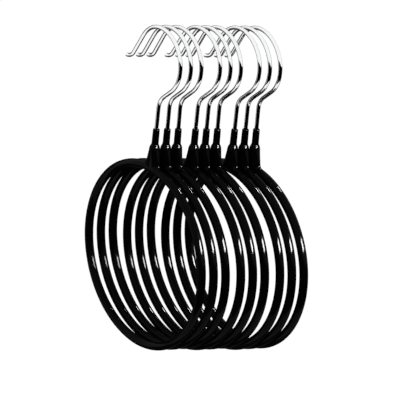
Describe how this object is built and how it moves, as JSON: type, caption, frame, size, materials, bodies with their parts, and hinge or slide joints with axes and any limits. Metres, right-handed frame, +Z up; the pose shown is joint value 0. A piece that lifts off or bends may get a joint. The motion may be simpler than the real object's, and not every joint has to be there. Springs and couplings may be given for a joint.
{
  "type": "tie hanger",
  "caption": "Row of round ring hangers for ties and scarves: glossy black vinyl-dipped wire rings that swivel under chromed open hooks on a rail.",
  "frame": {"origin": "underside of the crown of the middle hook, where it rests on the rail", "axes": "+Z up along the middle hook's straight shank; +X square to the middle ring, away from the viewer's left; +Y in the plane of the middle ring, from the shank towards the tip of its hook. The rail runs level, 26 degrees from +X towards -Y."},
  "size_m": [0.062, 0.1408, 0.1997],
  "materials": {
    "chrome_wire": "bright chrome plate over steel wire",
    "drawn_tube": "plain drawn brass",
    "bare_wire": "plain drawn steel wire",
    "weld": "dark weld",
    "black_vinyl": "glossy dipped black vinyl"
  },
  "bodies": {
    "hook_1": {"hook_1": "chrome_wire"},
    "ring_1": {"neck_tube_1": "drawn_tube", "ring_wire_1": "bare_wire", "weld_bead_1": "weld", "vinyl_coat_1": "black_vinyl"},
    "hook_2": {"hook_2": "chrome_wire"},
    "ring_2": {"neck_tube_2": "drawn_tube", "ring_wire_2": "bare_wire", "weld_bead_2": "weld", "vinyl_coat_2": "black_vinyl"},
    "hook_3": {"hook_3": "chrome_wire"},
    "ring_3": {"neck_tube_3": "drawn_tube", "ring_wire_3": "bare_wire", "weld_bead_3": "weld", "vinyl_coat_3": "black_vinyl"},
    "hook_4": {"hook_4": "chrome_wire"},
    "ring_4": {"neck_tube_4": "drawn_tube", "ring_wire_4": "bare_wire", "weld_bead_4": "weld", "vinyl_coat_4": "black_vinyl"},
    "hook_5": {"hook_5": "chrome_wire"},
    "ring_5": {"neck_tube_5": "drawn_tube", "ring_wire_5": "bare_wire", "weld_bead_5": "weld", "vinyl_coat_5": "black_vinyl"},
    "hook_6": {"hook_6": "chrome_wire"},
    "ring_6": {"neck_tube_6": "drawn_tube", "ring_wire_6": "bare_wire", "weld_bead_6": "weld", "vinyl_coat_6": "black_vinyl"},
    "hook_7": {"hook_7": "chrome_wire"},
    "ring_7": {"neck_tube_7": "drawn_tube", "ring_wire_7": "bare_wire", "weld_bead_7": "weld", "vinyl_coat_7": "black_vinyl"},
    "hook_8": {"hook_8": "chrome_wire"},
    "ring_8": {"neck_tube_8": "drawn_tube", "ring_wire_8": "bare_wire", "weld_bead_8": "weld", "vinyl_coat_8": "black_vinyl"},
    "hook_9": {"hook_9": "chrome_wire"},
    "ring_9": {"neck_tube_9": "drawn_tube", "ring_wire_9": "bare_wire", "weld_bead_9": "weld", "vinyl_coat_9": "black_vinyl"}
  },
  "joints": [
    {"name": "slide_4", "type": "slide", "parent": "hook_5", "child": "hook_4", "axis": [-0.8988, 0.4384, 0], "range_m": [0, 0.06]},
    {"name": "slide_3", "type": "slide", "parent": "hook_4", "child": "hook_3", "axis": [-0.8988, 0.4384, 0], "range_m": [0, 0.06]},
    {"name": "slide_2", "type": "slide", "parent": "hook_3", "child": "hook_2", "axis": [-0.8988, 0.4384, 0], "range_m": [0, 0.06]},
    {"name": "slide_1", "type": "slide", "parent": "hook_2", "child": "hook_1", "axis": [-0.8988, 0.4384, 0], "range_m": [0, 0.06]},
    {"name": "slide_6", "type": "slide", "parent": "hook_5", "child": "hook_6", "axis": [0.8988, -0.4384, 0], "range_m": [0, 0.06]},
    {"name": "slide_7", "type": "slide", "parent": "hook_6", "child": "hook_7", "axis": [0.8988, -0.4384, 0], "range_m": [0, 0.06]},
    {"name": "slide_8", "type": "slide", "parent": "hook_7", "child": "hook_8", "axis": [0.8988, -0.4384, 0], "range_m": [0, 0.06]},
    {"name": "slide_9", "type": "slide", "parent": "hook_8", "child": "hook_9", "axis": [0.8988, -0.4384, 0], "range_m": [0, 0.06]},
    {"name": "swivel_5", "type": "hinge", "parent": "hook_5", "child": "ring_5", "pos_m": [0, -0.00309, -0.07082], "axis": [0, 0, -1], "range_deg": [-5, 56]},
    {"name": "swivel_1", "type": "hinge", "parent": "hook_1", "child": "ring_1", "pos_m": [-0.02715, 0.0098, -0.07081], "axis": [-0.0105, 0, -0.9999], "range_deg": [-5, 56]},
    {"name": "swivel_2", "type": "hinge", "parent": "hook_2", "child": "ring_2", "pos_m": [-0.021, 0.00716, -0.07082], "axis": [0, 0, -1], "range_deg": [-5, 56]},
    {"name": "swivel_3", "type": "hinge", "parent": "hook_3", "child": "ring_3", "pos_m": [-0.01485, 0.00452, -0.07081], "axis": [0.0105, 0, -0.9999], "range_deg": [-5, 56]},
    {"name": "swivel_4", "type": "hinge", "parent": "hook_4", "child": "ring_4", "pos_m": [-0.00615, -0.00045, -0.07081], "axis": [-0.0105, 0, -0.9999], "range_deg": [-5, 56]},
    {"name": "swivel_6", "type": "hinge", "parent": "hook_6", "child": "ring_6", "pos_m": [0.00615, -0.00572, -0.07081], "axis": [0.0105, 0, -0.9999], "range_deg": [-5, 56]},
    {"name": "swivel_7", "type": "hinge", "parent": "hook_7", "child": "ring_7", "pos_m": [0.01485, -0.01069, -0.07081], "axis": [-0.0105, 0, -0.9999], "range_deg": [-5, 56]},
    {"name": "swivel_8", "type": "hinge", "parent": "hook_8", "child": "ring_8", "pos_m": [0.021, -0.01333, -0.07082], "axis": [0, 0, -1], "range_deg": [-5, 56]},
    {"name": "swivel_9", "type": "hinge", "parent": "hook_9", "child": "ring_9", "pos_m": [0.02715, -0.01597, -0.07081], "axis": [0.0105, 0, -0.9999], "range_deg": [-5, 56]}
  ],
  "couplings": [
    {"joint": "swivel_1", "follows": "swivel_5", "ratio": 1},
    {"joint": "swivel_2", "follows": "swivel_5", "ratio": 1},
    {"joint": "swivel_3", "follows": "swivel_5", "ratio": 1},
    {"joint": "swivel_4", "follows": "swivel_5", "ratio": 1},
    {"joint": "swivel_6", "follows": "swivel_5", "ratio": 1},
    {"joint": "swivel_7", "follows": "swivel_5", "ratio": 1},
    {"joint": "swivel_8", "follows": "swivel_5", "ratio": 1},
    {"joint": "swivel_9", "follows": "swivel_5", "ratio": 1}
  ]
}
